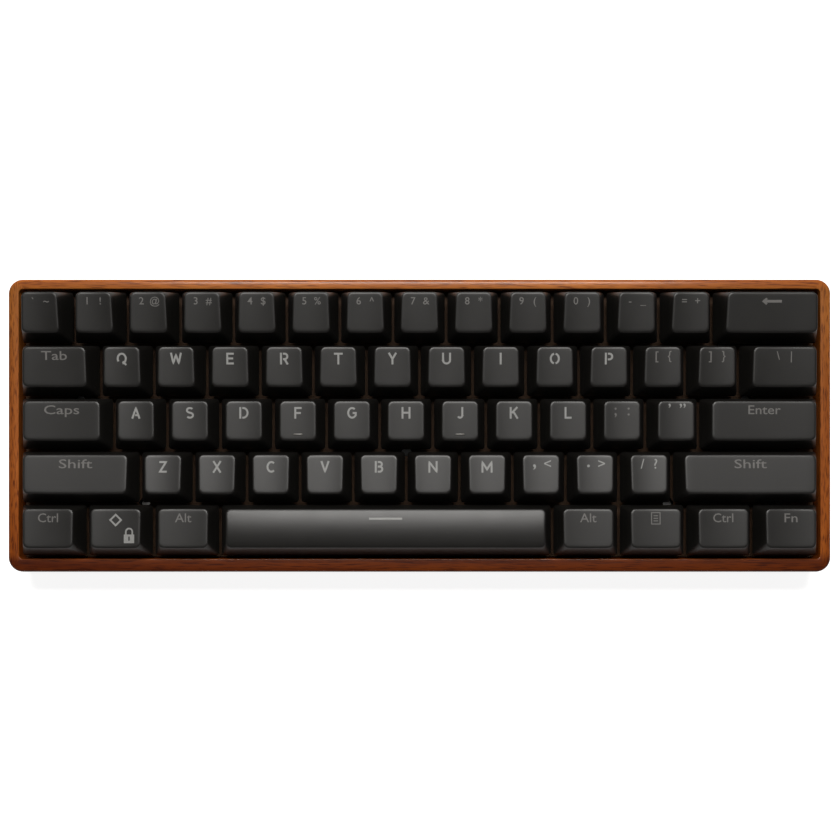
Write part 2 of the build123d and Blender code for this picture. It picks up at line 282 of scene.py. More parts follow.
# the side rails' grain runs from front to back: at a mitre, a place belongs to the side rail if
# it is nearer to the side than to the front or the back
case_low, case_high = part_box("case")
turned = add(tree, "ShaderNodeCombineXYZ", {"X": axes["Y"], "Y": axes["X"],
                                            "Z": axes["Z"]})["Vector"]
off_centre = add(tree, "ShaderNodeMath", {0: axes["X"]}, operation="ABSOLUTE")["Value"]
to_side = add(tree, "ShaderNodeMath", {0: case_half, 1: off_centre},
              operation="SUBTRACT")["Value"]
from_front = add(tree, "ShaderNodeMath", {0: axes["Y"], 1: case_low.y},
                 operation="SUBTRACT")["Value"]
from_back = add(tree, "ShaderNodeMath", {0: case_high.y, 1: axes["Y"]},
                operation="SUBTRACT")["Value"]
to_end = add(tree, "ShaderNodeMath", {0: from_front, 1: from_back}, operation="MINIMUM")["Value"]
on_side = add(tree, "ShaderNodeMath", {0: to_side, 1: to_end}, operation="LESS_THAN")["Value"]
along_grain = add(tree, "ShaderNodeMixRGB", {"Fac": on_side, "Color1": place,
                                             "Color2": turned})["Color"]
# growth bands are about 7 mm wide and run twenty times as far along a rail
band_width = 7 * mm
bands_along = add(tree, "ShaderNodeMapping", {"Vector": along_grain, "Scale": (
    0.05 / band_width, 1 / band_width, 1 / band_width)})["Vector"]
bands = add(tree, "ShaderNodeTexNoise", {"Vector": bands_along, "Scale": 1.0, "Detail": 6.0,
                                         "Roughness": 0.6, "Distortion": 0.6})["Fac"]
band_colour = add(tree, "ShaderNodeValToRGB", {"Fac": bands}, stops=[
    (0.30, "#894212"), (0.45, "#a6591b"), (0.56, "#b36322"), (0.70, "#c4722b")])["Color"]
# vessels are about 0.25 mm across and 7 mm long, and are drawn wider so that they show
vessel_width = 0.35 * mm
vessels_along = add(tree, "ShaderNodeMapping", {"Vector": along_grain, "Scale": (
    0.05 / vessel_width, 1 / vessel_width, 1 / vessel_width)})["Vector"]
vessels = add(tree, "ShaderNodeTexNoise", {"Vector": vessels_along, "Scale": 1.0,
                                           "Detail": 2.0})["Fac"]
open_pores = add(tree, "ShaderNodeValToRGB", {"Fac": vessels}, stops=[
    (0.34, "#a8958a"), (0.50, "#ffffff")])["Color"]
grained = add(tree, "ShaderNodeMixRGB", {"Fac": 1.0, "Color1": band_colour,
                                         "Color2": open_pores}, blend_type="MULTIPLY")["Color"]
# painted shade and light: darkest and reddest at the front rail, lightest at the back rail, as the
# lamp behind lights the rim; between them the ramp only sets the wood's own tone
to_back = add(tree, "ShaderNodeMapRange", {"Value": axes["Y"], "From Min": case_low.y,
                                           "From Max": case_high.y})["Result"]
painted_shade_front_to_back = add(tree, "ShaderNodeValToRGB", {"Fac": to_back}, stops=[
    (0.035, "#856818"), (0.065, "#cdbe98"), (0.485, "#ddddf3"), (0.94, "#d4e2f1"),
    (0.97, "#ffffff")])["Color"]
toned = add(tree, "ShaderNodeMixRGB", {"Fac": 1.0, "Color1": grained, "Color2": painted_shade_front_to_back},
            blend_type="MULTIPLY")["Color"]
tree.links.new(toned, shader["Base Color"])
shine = add(tree, "ShaderNodeMapRange", {"Value": bands, "To Min": 0.42,
                                         "To Max": 0.52})["Result"]
tree.links.new(shine, shader["Roughness"])
pore_depth = 0.012 * mm
relief = add(tree, "ShaderNodeBump", {"Height": open_pores, "Distance": pore_depth})["Normal"]
tree.links.new(relief, shader["Normal"])
case.data.materials.append(walnut)

# --- Rubber feet ------------------------------------------------------------------------------
# Four moulded pads with a rounded edge, stuck under the case. The rubber is dark and dull, with
# a faint moulded grain.
foot_length = 20 * mm
foot_width = 8 * mm
foot_corner = 2.5 * mm
foot_easing = 0.6 * mm
feet_low, feet_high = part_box("rubber_feet")
feet_work = bmesh.new()
for side in (-1, 1):
    for end in (-1, 1):
        x = side * (feet_high.x - foot_length / 2)
        y = feet_high.y - foot_width / 2 if end > 0 else feet_low.y + foot_width / 2
        foot_rings = []
        for turn in easing:
            inset = foot_easing * (1 - math.sin(turn))
            ring = rounded_ring(foot_length / 2 - inset, inset - foot_width / 2,
                                foot_width / 2 - inset, foot_corner - inset,
                                corner_steps=6, across=2, along=2)
            foot_rings.append([(x + px, y + py, foot_easing * (1 - math.cos(turn)))
                               for px, py in ring])
        foot_rings.append([(px, py, foot_height) for px, py, _ in foot_rings[-1]])
        foot_laid = skin(feet_work, foot_rings)
        feet_work.faces.new(reversed(foot_laid[0]))
        feet_work.faces.new(foot_laid[-1])
bmesh.ops.recalc_face_normals(feet_work, faces=feet_work.faces)
feet = piece("moulded_feet", shade(plain_mesh(feet_work, "moulded_feet")), Matrix.Identity(4),
             "keyboard_base", "foot_rubber", "rubber_feet")


def mottle(tree, shader, grain_size, dark, light, relief=0.0, detail=2.0):
    """Varies a finish between two colours in grains of a real size, and lets them stand up."""
    place = add(tree, "ShaderNodeTexCoord")["Object"]
    grain = add(tree, "ShaderNodeTexNoise", {"Vector": place, "Scale": 1 / grain_size,
                                             "Detail": detail})["Fac"]
    tone = add(tree, "ShaderNodeValToRGB", {"Fac": grain}, stops=[
        (0.3, dark), (0.7, light)])["Color"]
    tree.links.new(tone, shader["Base Color"])
    if relief:
        raised = add(tree, "ShaderNodeBump", {"Height": grain, "Distance": relief})["Normal"]
        tree.links.new(raised, shader["Normal"])
    return place


# Moulded rubber: nearly black and dull, with a faint grain from the mould.
rubber, tree, shader = new_material("moulded_rubber", 0.8)
mottle(tree, shader, 0.4 * mm, "#161615", "#1f1f1e", relief=0.02 * mm)
feet.data.materials.append(rubber)

# --- Circuit board, controller, cable socket and screws ---------------------------------------
# A glass fibre board under black solder mask, held to the case's posts by five zinc plated
# screws. The controller is a black epoxy package, and the socket a folded shell of plated steel.


def dress(material, *held_nodes):
    """Gives CAD nodes a material in place of their plain one."""
    for node in held_nodes:
        for material_slot in nodes[node].material_slots:
            material_slot.material = material


# Solder mask: a thin half-gloss skin, through which the glass weave shows faintly.
mask, tree, shader = new_material("black_solder_mask", 0.35)
place = add(tree, "ShaderNodeTexCoord")["Object"]
weave_size = 0.5 * mm     # between the threads of the glass cloth
weave = add(tree, "ShaderNodeTexChecker", {"Vector": place, "Scale": 1 / weave_size,
                                           "Color1": srgb("#101412"),
                                           "Color2": srgb("#141a17")})["Color"]
tree.links.new(weave, shader["Base Color"])
dress(mask, "circuit_board")

# Moulded epoxy: a dry charcoal grey, speckled by its filler, which is drawn coarse enough to show.
epoxy, tree, shader = new_material("moulded_epoxy", 0.6)
mottle(tree, shader, 0.15 * mm, "#161617", "#222223")
dress(epoxy, "controller_chip")

# Bright plated steel: a pale mirror, drawn out by fine marks from left to right.
plating, tree, shader = new_material("bright_plated_steel", 0.3, metallic=1.0)
place = add(tree, "ShaderNodeTexCoord")["Object"]
mark_width = 0.1 * mm     # real ones are finer
drawn_marks = add(tree, "ShaderNodeMapping", {"Vector": place, "Scale": (
    0.1 / mark_width, 1 / mark_width, 1 / mark_width)})["Vector"]
marks = add(tree, "ShaderNodeTexNoise", {"Vector": drawn_marks, "Scale": 1.0})["Fac"]
tone = add(tree, "ShaderNodeValToRGB", {"Fac": marks}, stops=[
    (0.3, "#b2b2b0"), (0.7, "#cfcfcd")])["Color"]
tree.links.new(tone, shader["Base Color"])
dress(plating, "case_screws", "usb_socket")

# --- Switch plate -----------------------------------------------------------------------------
# A 1.5 mm steel plate with a square cut-out for every switch, under brown powder coat, which
# leaves a fine orange peel and a dull shine.
coat, tree, shader = new_material("brown_powder_coat", 0.7)
shader["Specular IOR Level"].default_value = 0.3
mottle(tree, shader, 0.5 * mm, "#33200f", "#402a15", relief=0.03 * mm, detail=3.0)
dress(coat, "switch_plate")

# --- Switch housings and stabiliser holders ---------------------------------------------------
# Black nylon, moulded in two halves that snap together through the plate. Nylon takes the
# mould's spark texture and looks dry. The sparks are drawn at twice their size, so that they show.
nylon, tree, shader = new_material("moulded_black_nylon", 0.55)
mottle(tree, shader, 0.2 * mm, "#141313", "#1d1c1b", relief=0.01 * mm)
dress(nylon, "switch_bottoms", "switch_tops", "stabiliser_holders")

# --- Stabiliser wires -------------------------------------------------------------------------
# Hard drawn spring wire, 1.5 mm thick, bent at both ends and blackened. The die leaves fine
# lines along it.
wire_steel, tree, shader = new_material("blackened_spring_wire", 0.4, metallic=1.0)
place = add(tree, "ShaderNodeTexCoord")["Object"]
line_size = 0.08 * mm     # between the die's lines, and real ones are finer
lines_along = add(tree, "ShaderNodeMapping", {"Vector": place, "Scale": (
    0.04 / line_size, 1 / line_size, 1 / line_size)})["Vector"]
lines = add(tree, "ShaderNodeTexNoise", {"Vector": lines_along, "Scale": 1.0})["Fac"]
tone = add(tree, "ShaderNodeValToRGB", {"Fac": lines}, stops=[
    (0.3, "#262521"), (0.7, "#32312c")])["Color"]
tree.links.new(tone, shader["Base Color"])
stabilised = ["backspace", "enter", "left_shift", "right_shift", "space"]
dress(wire_steel, *[name + "_wire" for name in stabilised])

# --- Switch sliders and stabiliser stems ------------------------------------------------------
# Each key rides on a slider in its switch, moulded in brown acetal with a cross on top for the cap.
# A long key also has a stem at each side, on a block that the stabiliser wire's arm lifts.
rows = {
    "number": [("grave", 1), ("1", 1), ("2", 1), ("3", 1), ("4", 1), ("5", 1), ("6", 1), ("7", 1),
               ("8", 1), ("9", 1), ("0", 1), ("minus", 1), ("equals", 1), ("backspace", 2)],
    "upper": [("tab", 1.5), ("q", 1), ("w", 1), ("e", 1), ("r", 1), ("t", 1), ("y", 1), ("u", 1),
              ("i", 1), ("o", 1), ("p", 1), ("left_bracket", 1), ("right_bracket", 1),
              ("backslash", 1.5)],
    "home": [("caps_lock", 1.75), ("a", 1), ("s", 1), ("d", 1), ("f", 1), ("g", 1), ("h", 1),
             ("j", 1), ("k", 1), ("l", 1), ("semicolon", 1), ("quote", 1), ("enter", 2.25)],
    "lower": [("left_shift", 2.25), ("z", 1), ("x", 1), ("c", 1), ("v", 1), ("b", 1), ("n", 1),
              ("m", 1), ("comma", 1), ("full_stop", 1), ("slash", 1), ("right_shift", 2.75)],
    "bottom": [("left_ctrl", 1.25), ("left_system", 1.25), ("left_alt", 1.25), ("space", 6.25),
               ("right_alt", 1.25), ("menu", 1.25), ("right_ctrl", 1.25), ("fn", 1.25)],
}
groups = {
    "number_keys_left": ["grave", "1", "2", "3", "4", "5", "6"],
    "number_keys_right": ["7", "8", "9", "0", "minus", "equals"],
    "left_modifier_keys": ["left_ctrl", "left_system", "left_alt"],
    "right_modifier_keys": ["right_alt", "menu", "right_ctrl", "fn"],
}
group_of = {name: node for node, members in groups.items() for name in members}


def middle(node):
    """Where a key stands on the deck."""
    points = deck_points(node)
    return Vector(((min(p.x for p in points) + max(p.x for p in points)) / 2,
                   (min(p.y for p in points) + max(p.y for p in points)) / 2))


pitch = middle("key_w").x - middle("key_q").x
field_left = middle("key_tab").x - dict(rows["upper"])["tab"] * pitch / 2
row_middles = {"number": middle("key_backspace").y, "upper": middle("key_tab").y,
               "home": middle("key_enter").y, "lower": middle("key_left_shift").y,
               "bottom": middle("key_space").y}

# each key's name, row, width in units, node and place
keys = []
for row, row_keys in rows.items():
    left = field_left
    for name, units in row_keys:
        spot = deck @ Matrix.Translation((left + units * pitch / 2, row_middles[row], 0))
        keys.append((name, row, units, group_of.get(name, "key_" + name), spot))
        left += units * pitch

housing_height = 6.6 * mm
slider_reach = 2.2 * mm
cross_height = 3.6 * mm
cross_half = 2 * mm
blade_half = 0.625 * mm
tip_easing = 0.2 * mm
block_width = 5 * mm
block_depth = 3.6 * mm
block_corner = 0.4 * mm
block_foot = -0.6 * mm
stabiliser_spread = 11.94 * mm
space_spread = 50 * mm


def stem_places(units):
    """How far across a key its stems stand."""
    if units < 2:
        return [0]
    spread = space_spread if units > 3 else stabiliser_spread
    return [0, -spread, spread]


def cross_ring(inset):
    """Points round a cross, anticlockwise from above."""
    far, near = cross_half - inset, blade_half - inset
    quarter = [(far, -near), (far, near), (near, near), (near, far), (-near, far), (-near, near)]
    return quarter + [(-x, -y) for x, y in quarter]


def slider_mesh(name, units):
    """The stems of one key."""
    work = bmesh.new()
    for number, x in enumerate(stem_places(units)):
        foot = housing_height - (slider_reach if number == 0 else 0)
        tip = housing_height + cross_height
        rings = [[(x + px, py, level) for px, py in cross_ring(inset)]
                 for level, inset in ((foot, 0), (tip - tip_easing, 0), (tip, tip_easing))]
        laid = skin(work, rings)
        work.faces.new(laid[-1])
        work.faces.new(reversed(laid[0]))
        if number:
            block = rounded_ring(block_width / 2, -block_depth / 2, block_depth / 2,
                                 block_corner)
            laid = skin(work, [[(x + px, py, level) for px, py in block]
                               for level in (block_foot, housing_height)])
            work.faces.new(laid[-1])
            work.faces.new(reversed(laid[0]))
    bmesh.ops.recalc_face_normals(work, faces=work.faces)
    return shade(plain_mesh(work, "slider_" + name))


# Acetal: brown and waxy, clouded where the melt has flowed.
acetal, tree, shader = new_material("brown_acetal", 0.35)
mottle(tree, shader, 1.5 * mm, "#5b3a22", "#664329")

for name, row, units, node, spot in keys:
    slider = piece("slider_" + name, slider_mesh(name, units), spot, node, "keycap_plastic", node)
    slider.data.materials.append(acetal)

# --- Keycaps ----------------------------------------------------------------------------------
# Hollow tapered caps moulded in dark ABS with pale legends, pushed on to the cross stems. Each row
# has its own height and tilt, so the rows form a shallow bowl. The tops are dished from side to
# side, but the space bar's bulges.
row_heights = {"number": 10.6, "upper": 9.3, "home": 8.7, "lower": 8.8, "bottom": 8.8}
row_tilts = {"number": 7.0, "upper": 4.0, "home": 0.5, "lower": -4.0, "bottom": -2.5}
cap_gap = 0.95 * mm
cap_wall = 1.5 * mm
cap_lift = 6 * mm
cap_top_width = 12.7 * mm
cap_top_depth = 13.7 * mm
cap_set_back = 0.8 * mm
cap_dish = 0.45 * mm
cap_roof = 1.6 * mm
side_easing = 0.4 * mm
top_easing = 0.85 * mm
skirt_corner = 1.0 * mm
top_corner = 1.9 * mm
space_bulge = 0.75 * mm
hollow_corner = 0.6 * mm
post_bottom = housing_height + 0.1 * mm
post_radius = 2.5 * mm
socket_radius = 2.15 * mm
cap_sharp_degrees = 40
cap_corner_steps = 6
cap_side_steps = 8
post_sides = 24
# a cap's materials after its own plastic, in the order that it holds them
bright_legend, dim_legend, painted_bar_highlight = 1, 2, 3


def crown(row, units, bulge):
    """A function that gives the point of a cap's tilted top above a place on the key."""
    sink, up = math.sin(math.radians(row_tilts[row])), math.cos(math.radians(row_tilts[row]))
    top_width = cap_top_width + (units - 1) * pitch
    dish_radius = top_width ** 2 / (8 * cap_dish)
    middle_height = cap_lift + row_heights[row] * mm

    def top(x, y, lift=0.0):
        rise = dish_radius - cap_dish - math.sqrt(max(dish_radius ** 2 - x ** 2, 0))
        along = (y - cap_set_back + rise * sink) / up
        if bulge:
            bulge_radius = cap_top_depth ** 2 / (8 * bulge)
            # where a place falls along the top depends on its rise, and settles in a few rounds
            for _ in range(4):
                rise = bulge - bulge_radius + math.sqrt(bulge_radius ** 2 - along ** 2)
                along = (y - cap_set_back + rise * sink) / up
        return Vector((x, y, middle_height + along * sink + rise * up + lift))

    return top


def outline(units, level, inset, across):
    """A cap's outline at a level: 0 at its lower edge, 1 at the height of its top's middle."""
    skirt = (pitch - cap_gap) / 2
    half = skirt + (cap_top_width / 2 - skirt) * level + (units - 1) * pitch / 2
    front = -skirt + (cap_set_back - cap_top_depth / 2 + skirt) * level
    back = skirt + (cap_set_back + cap_top_depth / 2 - skirt) * level
    corner = skirt_corner + (top_corner - skirt_corner) * level
    return rounded_ring(half - inset, front + inset, back - inset, corner - inset,
                        cap_corner_steps, across, cap_side_steps)


def keycap(row, units, bulge):
    """What is built of one cap: its sides, eased edge, top, hollow and posts."""
    top = crown(row, units, bulge)
    height = row_heights[row] * mm
    across = 8 + round(6 * (units - 1))
    wall_steps = 3
    crown_steps = 9
    skirt = outline(units, 0, 0, across)
    at_top = outline(units, 1, 0, across)
    eased = outline(units, 1, top_easing, across)

    def on_side(at, level):
        (x0, y0), (x1, y1) = skirt[at], at_top[at]
        return Vector((x0 + (x1 - x0) * level, y0 + (y1 - y0) * level, cap_lift + height * level))

    # the edge is where the sides would meet the top, and comes nearer to it in each round
    edge = []
    for at in range(len(skirt)):
        point = on_side(at, 1)
        for _ in range(6):
            point = on_side(at, (top(point.x, point.y).z - cap_lift) / height)
        edge.append(point)
    shoulder = [point + (on_side(at, 0) - point).normalized() * side_easing
                for at, point in enumerate(edge)]
    brink = []
    for at, point in enumerate(edge):
        inward = Vector(eased[at]) - Vector(at_top[at])
        brink.append(top(point.x + inward.x, point.y + inward.y))
    rings = [[on_side(at, 0).lerp(shoulder[at], step / wall_steps) for at in range(len(skirt))]
             for step in range(wall_steps)]
    for step in range(easing_steps + 1):
        share = step / easing_steps
        rings.append([shoulder[at] * (1 - share) ** 2 + edge[at] * 2 * share * (1 - share)
                      + brink[at] * share ** 2 for at in range(len(skirt))])
    centre = Vector((0, cap_set_back))
    for step in range(1, crown_steps):
        share = step / crown_steps
        rings.append([top(*point.xy.lerp(centre, share)) for point in brink])
    work = bmesh.new()
    laid = skin(work, rings)
    hub = work.verts.new(top(*centre))
    for at in range(len(skirt)):
        work.faces.new((laid[-1][at], laid[-1][(at + 1) % len(skirt)], hub))

    # the hollow: its walls follow the sides, and its ceiling is level
    ceiling = height - cap_roof - cap_dish - cap_top_depth / 2 * abs(
        math.sin(math.radians(row_tilts[row])))
    inner_low = rounded_ring((units * pitch - cap_gap) / 2 - cap_wall,
                             cap_wall - (pitch - cap_gap) / 2, (pitch - cap_gap) / 2 - cap_wall,
                             hollow_corner, cap_corner_steps, across, cap_side_steps)
    narrowing = (skirt[0][0] - at_top[0][0]) * ceiling / height
    inner_high = [(x - math.copysign(narrowing, x), y - math.copysign(narrowing, y))
                  for x, y in inner_low]
    inside = [[work.verts.new((x, y, cap_lift)) for x, y in inner_low],
              [work.verts.new((x, y, cap_lift + ceiling)) for x, y in inner_high]]
    for lower, upper in ((inside[0], laid[0]), (inside[1], inside[0])):
        for at in range(len(skirt)):
            after = (at + 1) % len(skirt)
            work.faces.new((lower[at], lower[after], upper[after], upper[at]))
    work.faces.new(inside[1])

    # a round post over each stem hangs from the ceiling
    for x in stem_places(units):
        tube = [[(x + radius * math.cos(turn), radius * math.sin(turn), level)
                 for turn in (math.tau * step / post_sides for step in range(post_sides))]
                for radius, level in ((post_radius, cap_lift + ceiling),
                                      (post_radius, post_bottom),
                                      (socket_radius, post_bottom),
                                      (socket_radius, post_bottom + cross_height))]
        skin(work, tube)
    bmesh.ops.recalc_face_normals(work, faces=work.faces)
    return work, top


def homing_bar(work, top):
    """The raised half-round bar near the front edge of F and J, found by touch."""
    length, width, height, sunk = 3.3 * mm, 0.8 * mm, 0.4 * mm, 0.2 * mm
    front = -4.1 * mm
    rings = []
    for turn in easing[:-1]:
        inset = width / 2 * (1 - math.cos(turn))
        ring = rounded_ring(length / 2 - inset, front - width / 2 + inset,
                            front + width / 2 - inset, width / 2 - inset, across=4)
        rings.append([top(x, y, (height + sunk) * math.sin(turn) - sunk) for x, y in ring])
    before = len(work.faces)
    laid = skin(work, rings)
    work.faces.new(laid[-1])
    work.faces.ensure_lookup_table()
    # the bar's faces take the glossy finish, whose pale grey colour is a painted highlight
    for face in work.faces[before:]:
        face.material_index = painted_bar_highlight


# Legends are moulded through the top in pale plastic, or printed on it, and follow its hollow.
# Single letters are stencil cut: a bowl stops short of the stem that would close it.
letter_height = 4.1 * mm
letter_stroke = 0.68 * mm
letter_y = 3.5 * mm
ink_height = 0.03 * mm


def bow(x, y, across, up, start, end, steps=10):
    """Points on an arc about a centre, from a start to an end angle in degrees."""
    angles = [math.radians(start + (end - start) * step / steps) for step in range(steps + 1)]
    return [(x + across * math.cos(a), y + up * math.sin(a)) for a in angles]


# each letter's width and the centre lines of its strokes, on a body of this height
letter_body = 4.3
letter_strokes = {
    "A": (3.4, [[(0.35, 0), (1.7, 3.9), (3.05, 0)], [(1.45, 1.3), (2.6, 1.3)]]),
    "B": (3.1, [[(0.36, 0), (0.36, 4.3)],
                [(1.1, 3.94), (1.75, 3.94)] + bow(1.75, 3.1, 0.85, 0.84, 80, -90)
                + [(1.1, 2.26)],
                bow(1.8, 1.31, 0.95, 0.95, 80, -90) + [(1.1, 0.36)]]),
    "C": (3.3, [bow(1.8, 2.15, 1.44, 1.79, 48, 312, 18)]),
    "D": (3.4, [[(0.36, 0), (0.36, 4.3)],
                [(1.1, 3.94), (1.4, 3.94)] + bow(1.4, 2.15, 1.64, 1.79, 85, -85, 16)
                + [(1.1, 0.36)]]),
    "E": (2.8, [[(2.75, 3.94), (0.36, 3.94), (0.36, 0.36), (2.75, 0.36)],
                [(0.36, 2.2), (2.5, 2.2)]]),
    "F": (2.7, [[(2.7, 3.94), (0.36, 3.94), (0.36, 0)], [(0.36, 2.1), (2.4, 2.1)]]),
    "G": (3.5, [bow(1.8, 2.15, 1.44, 1.79, 48, 340, 20)[:-2] + [(3.14, 1.2), (3.14, 2.1),
                                                                (2.0, 2.1)]]),
    "H": (3.3, [[(0.36, 0), (0.36, 4.3)], [(2.94, 0), (2.94, 4.3)], [(0.36, 2.2), (2.94, 2.2)]]),
    "I": (0.8, [[(0.4, 0), (0.4, 4.3)]]),
    "J": (2.4, [[(2.04, 4.3), (2.04, 1.3)] + bow(1.2, 1.3, 0.84, 0.94, 0, -150)]),
    "K": (3.2, [[(0.36, 0), (0.36, 4.3)], [(2.85, 4.3), (0.75, 2.1)], [(1.35, 2.6), (2.95, 0)]]),
    "L": (2.6, [[(0.36, 4.3), (0.36, 0.36), (2.6, 0.36)]]),
    "M": (4.1, [[(0.36, 0), (0.36, 3.9), (2.05, 1.2), (3.74, 3.9), (3.74, 0)]]),
    "N": (3.4, [[(0.36, 0), (0.36, 3.9), (3.04, 0.4), (3.04, 4.3)]]),
    "O": (3.7, [bow(1.85, 2.15, 1.49, 1.79, 102, 258, 14),
                bow(1.85, 2.15, 1.49, 1.79, 78, -78, 14)]),
    "P": (3.0, [[(0.36, 0), (0.36, 4.3)],
                [(1.1, 3.94), (1.7, 3.94)] + bow(1.7, 2.9, 1.0, 1.04, 80, -90) + [(1.1, 1.86)]]),
    "Q": (3.8, [bow(1.85, 2.15, 1.49, 1.79, 215, -80, 22), [(2.2, 1.1), (3.5, -0.2)]]),
    "R": (3.1, [[(0.36, 0), (0.36, 4.3)],
                [(1.1, 3.94), (1.7, 3.94)] + bow(1.7, 2.95, 1.0, 0.99, 80, -90) + [(1.1, 1.96)],
                [(1.7, 1.9), (2.85, 0)]]),
    "S": (3.0, [bow(1.5, 3.1, 1.1, 0.84, 35, 250, 12) + bow(1.5, 1.25, 1.14, 0.9, 70, -145, 12)]),
    "T": (3.2, [[(0, 3.94), (3.2, 3.94)], [(1.6, 3.94), (1.6, 0)]]),
    "U": (3.3, [[(0.36, 4.3), (0.36, 1.6)] + bow(1.65, 1.6, 1.29, 1.24, 180, 360, 14)
                + [(2.94, 4.3)]]),
    "V": (3.4, [[(0.35, 4.3), (1.7, 0.4), (3.05, 4.3)]]),
    "W": (4.3, [[(0.3, 4.3), (1.15, 0.5), (2.15, 3.5), (3.15, 0.5), (4.0, 4.3)]]),
    "X": (3.3, [[(0.3, 4.3), (3.0, 0)], [(3.0, 4.3), (0.3, 0)]]),
    "Y": (3.3, [[(0.3, 4.3), (1.65, 2.0), (3.0, 4.3)], [(1.65, 2.2), (1.65, 0)]]),
    "Z": (3.0, [[(0.15, 3.94), (2.6, 3.94), (0.4, 0.36), (2.9, 0.36)]]),
}


longest_step = 0.6 * mm
mitre_limit = 0.6


def ribbon(points, width, x, y):
    """Polygons along a centre line with mitred turns, moved to a place; all in metres."""
    points = [Vector(point) for point in points]
    fine = [points[0]]
    for start, end in zip(points, points[1:]):
        pieces = max(1, math.ceil((end - start).length / longest_step))
        fine += [start.lerp(end, step / pieces) for step in range(1, pieces + 1)]
    sides = []
    for at, point in enumerate(fine):
        before = (point - fine[at - 1]).normalized() if at else None
        after = (fine[at + 1] - point).normalized() if at + 1 < len(fine) else None
        way = ((before or after) + (after or before)).normalized()
        square = Vector((-way.y, way.x))
        reach = width / 2 / max(way.dot(before or after), mitre_limit)
        sides.append((point + square * reach, point - square * reach))
    place = Vector((x, y))
    return [[place + sides[at][1], place + sides[at + 1][1], place + sides[at + 1][0],
             place + sides[at][0]] for at in range(len(sides) - 1)]


def stencil_letter(letter, y):
    """Polygons of a stencil letter, centred across the key."""
    width, strokes = letter_strokes[letter]
    scale = letter_height / letter_body
    return [polygon for stroke in strokes
            for polygon in ribbon([(px * scale, py * scale) for px, py in stroke], letter_stroke,
                                  -width * scale / 2, y - letter_height / 2)]


# the plain face's capitals stand this share of its size, and its strokes are made a hair bolder
capital_share = 0.69
bolder = 0.02 * mm
# lettering is cut at this spacing, this many times each way, so that it can follow the hollow
cut_spacing = 0.8 * mm
cuts_each_way = 30


def words(text, height, x, y, width=None):
    """Polygons of plain sans lettering, centred on a place and stretched to any width given."""
    curve = bpy.data.curves.new("lettering", "FONT")
    curve.body = text
    curve.align_x = "CENTER"
    curve.align_y = "CENTER"
    curve.size = height / capital_share
    curve.resolution_u = 3
    curve.offset = bolder
    held = bpy.data.objects.new("lettering", curve)
    bpy.context.collection.objects.link(held)
    bpy.context.view_layer.update()
    flat = bpy.data.meshes.new_from_object(
        held.evaluated_get(bpy.context.evaluated_depsgraph_get()))
    bpy.data.objects.remove(held)
    work = bmesh.new()
    work.from_mesh(flat)
    for cut in range(-cuts_each_way, cuts_each_way + 1):
        bmesh.ops.bisect_plane(work, geom=work.verts[:] + work.edges[:] + work.faces[:],
                               plane_co=(cut * cut_spacing, 0, 0), plane_no=(1, 0, 0))
    natural = max(v.co.x for v in work.verts) - min(v.co.x for v in work.verts)
    stretch = width / natural if width else 1
    polygons = []
    for face in work.faces:
        corners = [Vector((x + v.co.x * stretch, y + v.co.y)) for v in face.verts]
        polygons.append(corners if face.normal.z > 0 else corners[::-1])
    work.free()
    bpy.data.meshes.remove(flat)
    return polygons


def print_on(work, top, polygons, material_index):
    """Lays polygons on a cap's top, one ink's height above it."""
    for polygon in polygons:
        face = work.faces.new([work.verts.new(top(x, y, ink_height)) for x, y in polygon])
        face.material_index = material_index


small_y = 4.4 * mm
pairs = {"grave": "` ~", "1": "1 !", "2": "2 @", "3": "3 #", "4": "4 $", "5": "5 %", "6": "6 ^",
         "7": "7 &", "8": "8 *", "9": "9 (", "0": "0 )", "minus": "- _", "equals": "= +",
         "left_bracket": "[ {", "right_bracket": "] }", "backslash": "\\ |",
         "semicolon": "; :", "quote": "\u2019 \u201d", "comma": ", <", "full_stop": ". >",
         "slash": "/ ?"}
# words, and how many millimetres wide each is
named = {"tab": ("Tab", 9.1), "caps_lock": ("Caps", 12.4), "enter": ("Enter", 11.4),
         "left_shift": ("Shift", 11.8), "right_shift": ("Shift", 11.4), "left_ctrl": ("Ctrl", 7.1),
         "left_alt": ("Alt", 5.8), "right_alt": ("Alt", 5.8), "right_ctrl": ("Ctrl", 7.1),
         "fn": ("Fn", 4.6)}
word_height = 3.1 * mm
pair_spread = 2.3 * mm
mark_heights = {"number": 2.5 * mm, "upper": 2.9 * mm, "home": 4.1 * mm, "lower": 3.4 * mm}


def line(points, width, x, y):
    """Polygons of a stroke whose points are in millimetres from a place on the key."""
    return ribbon([(px * mm, py * mm) for px, py in points], width, x, y)


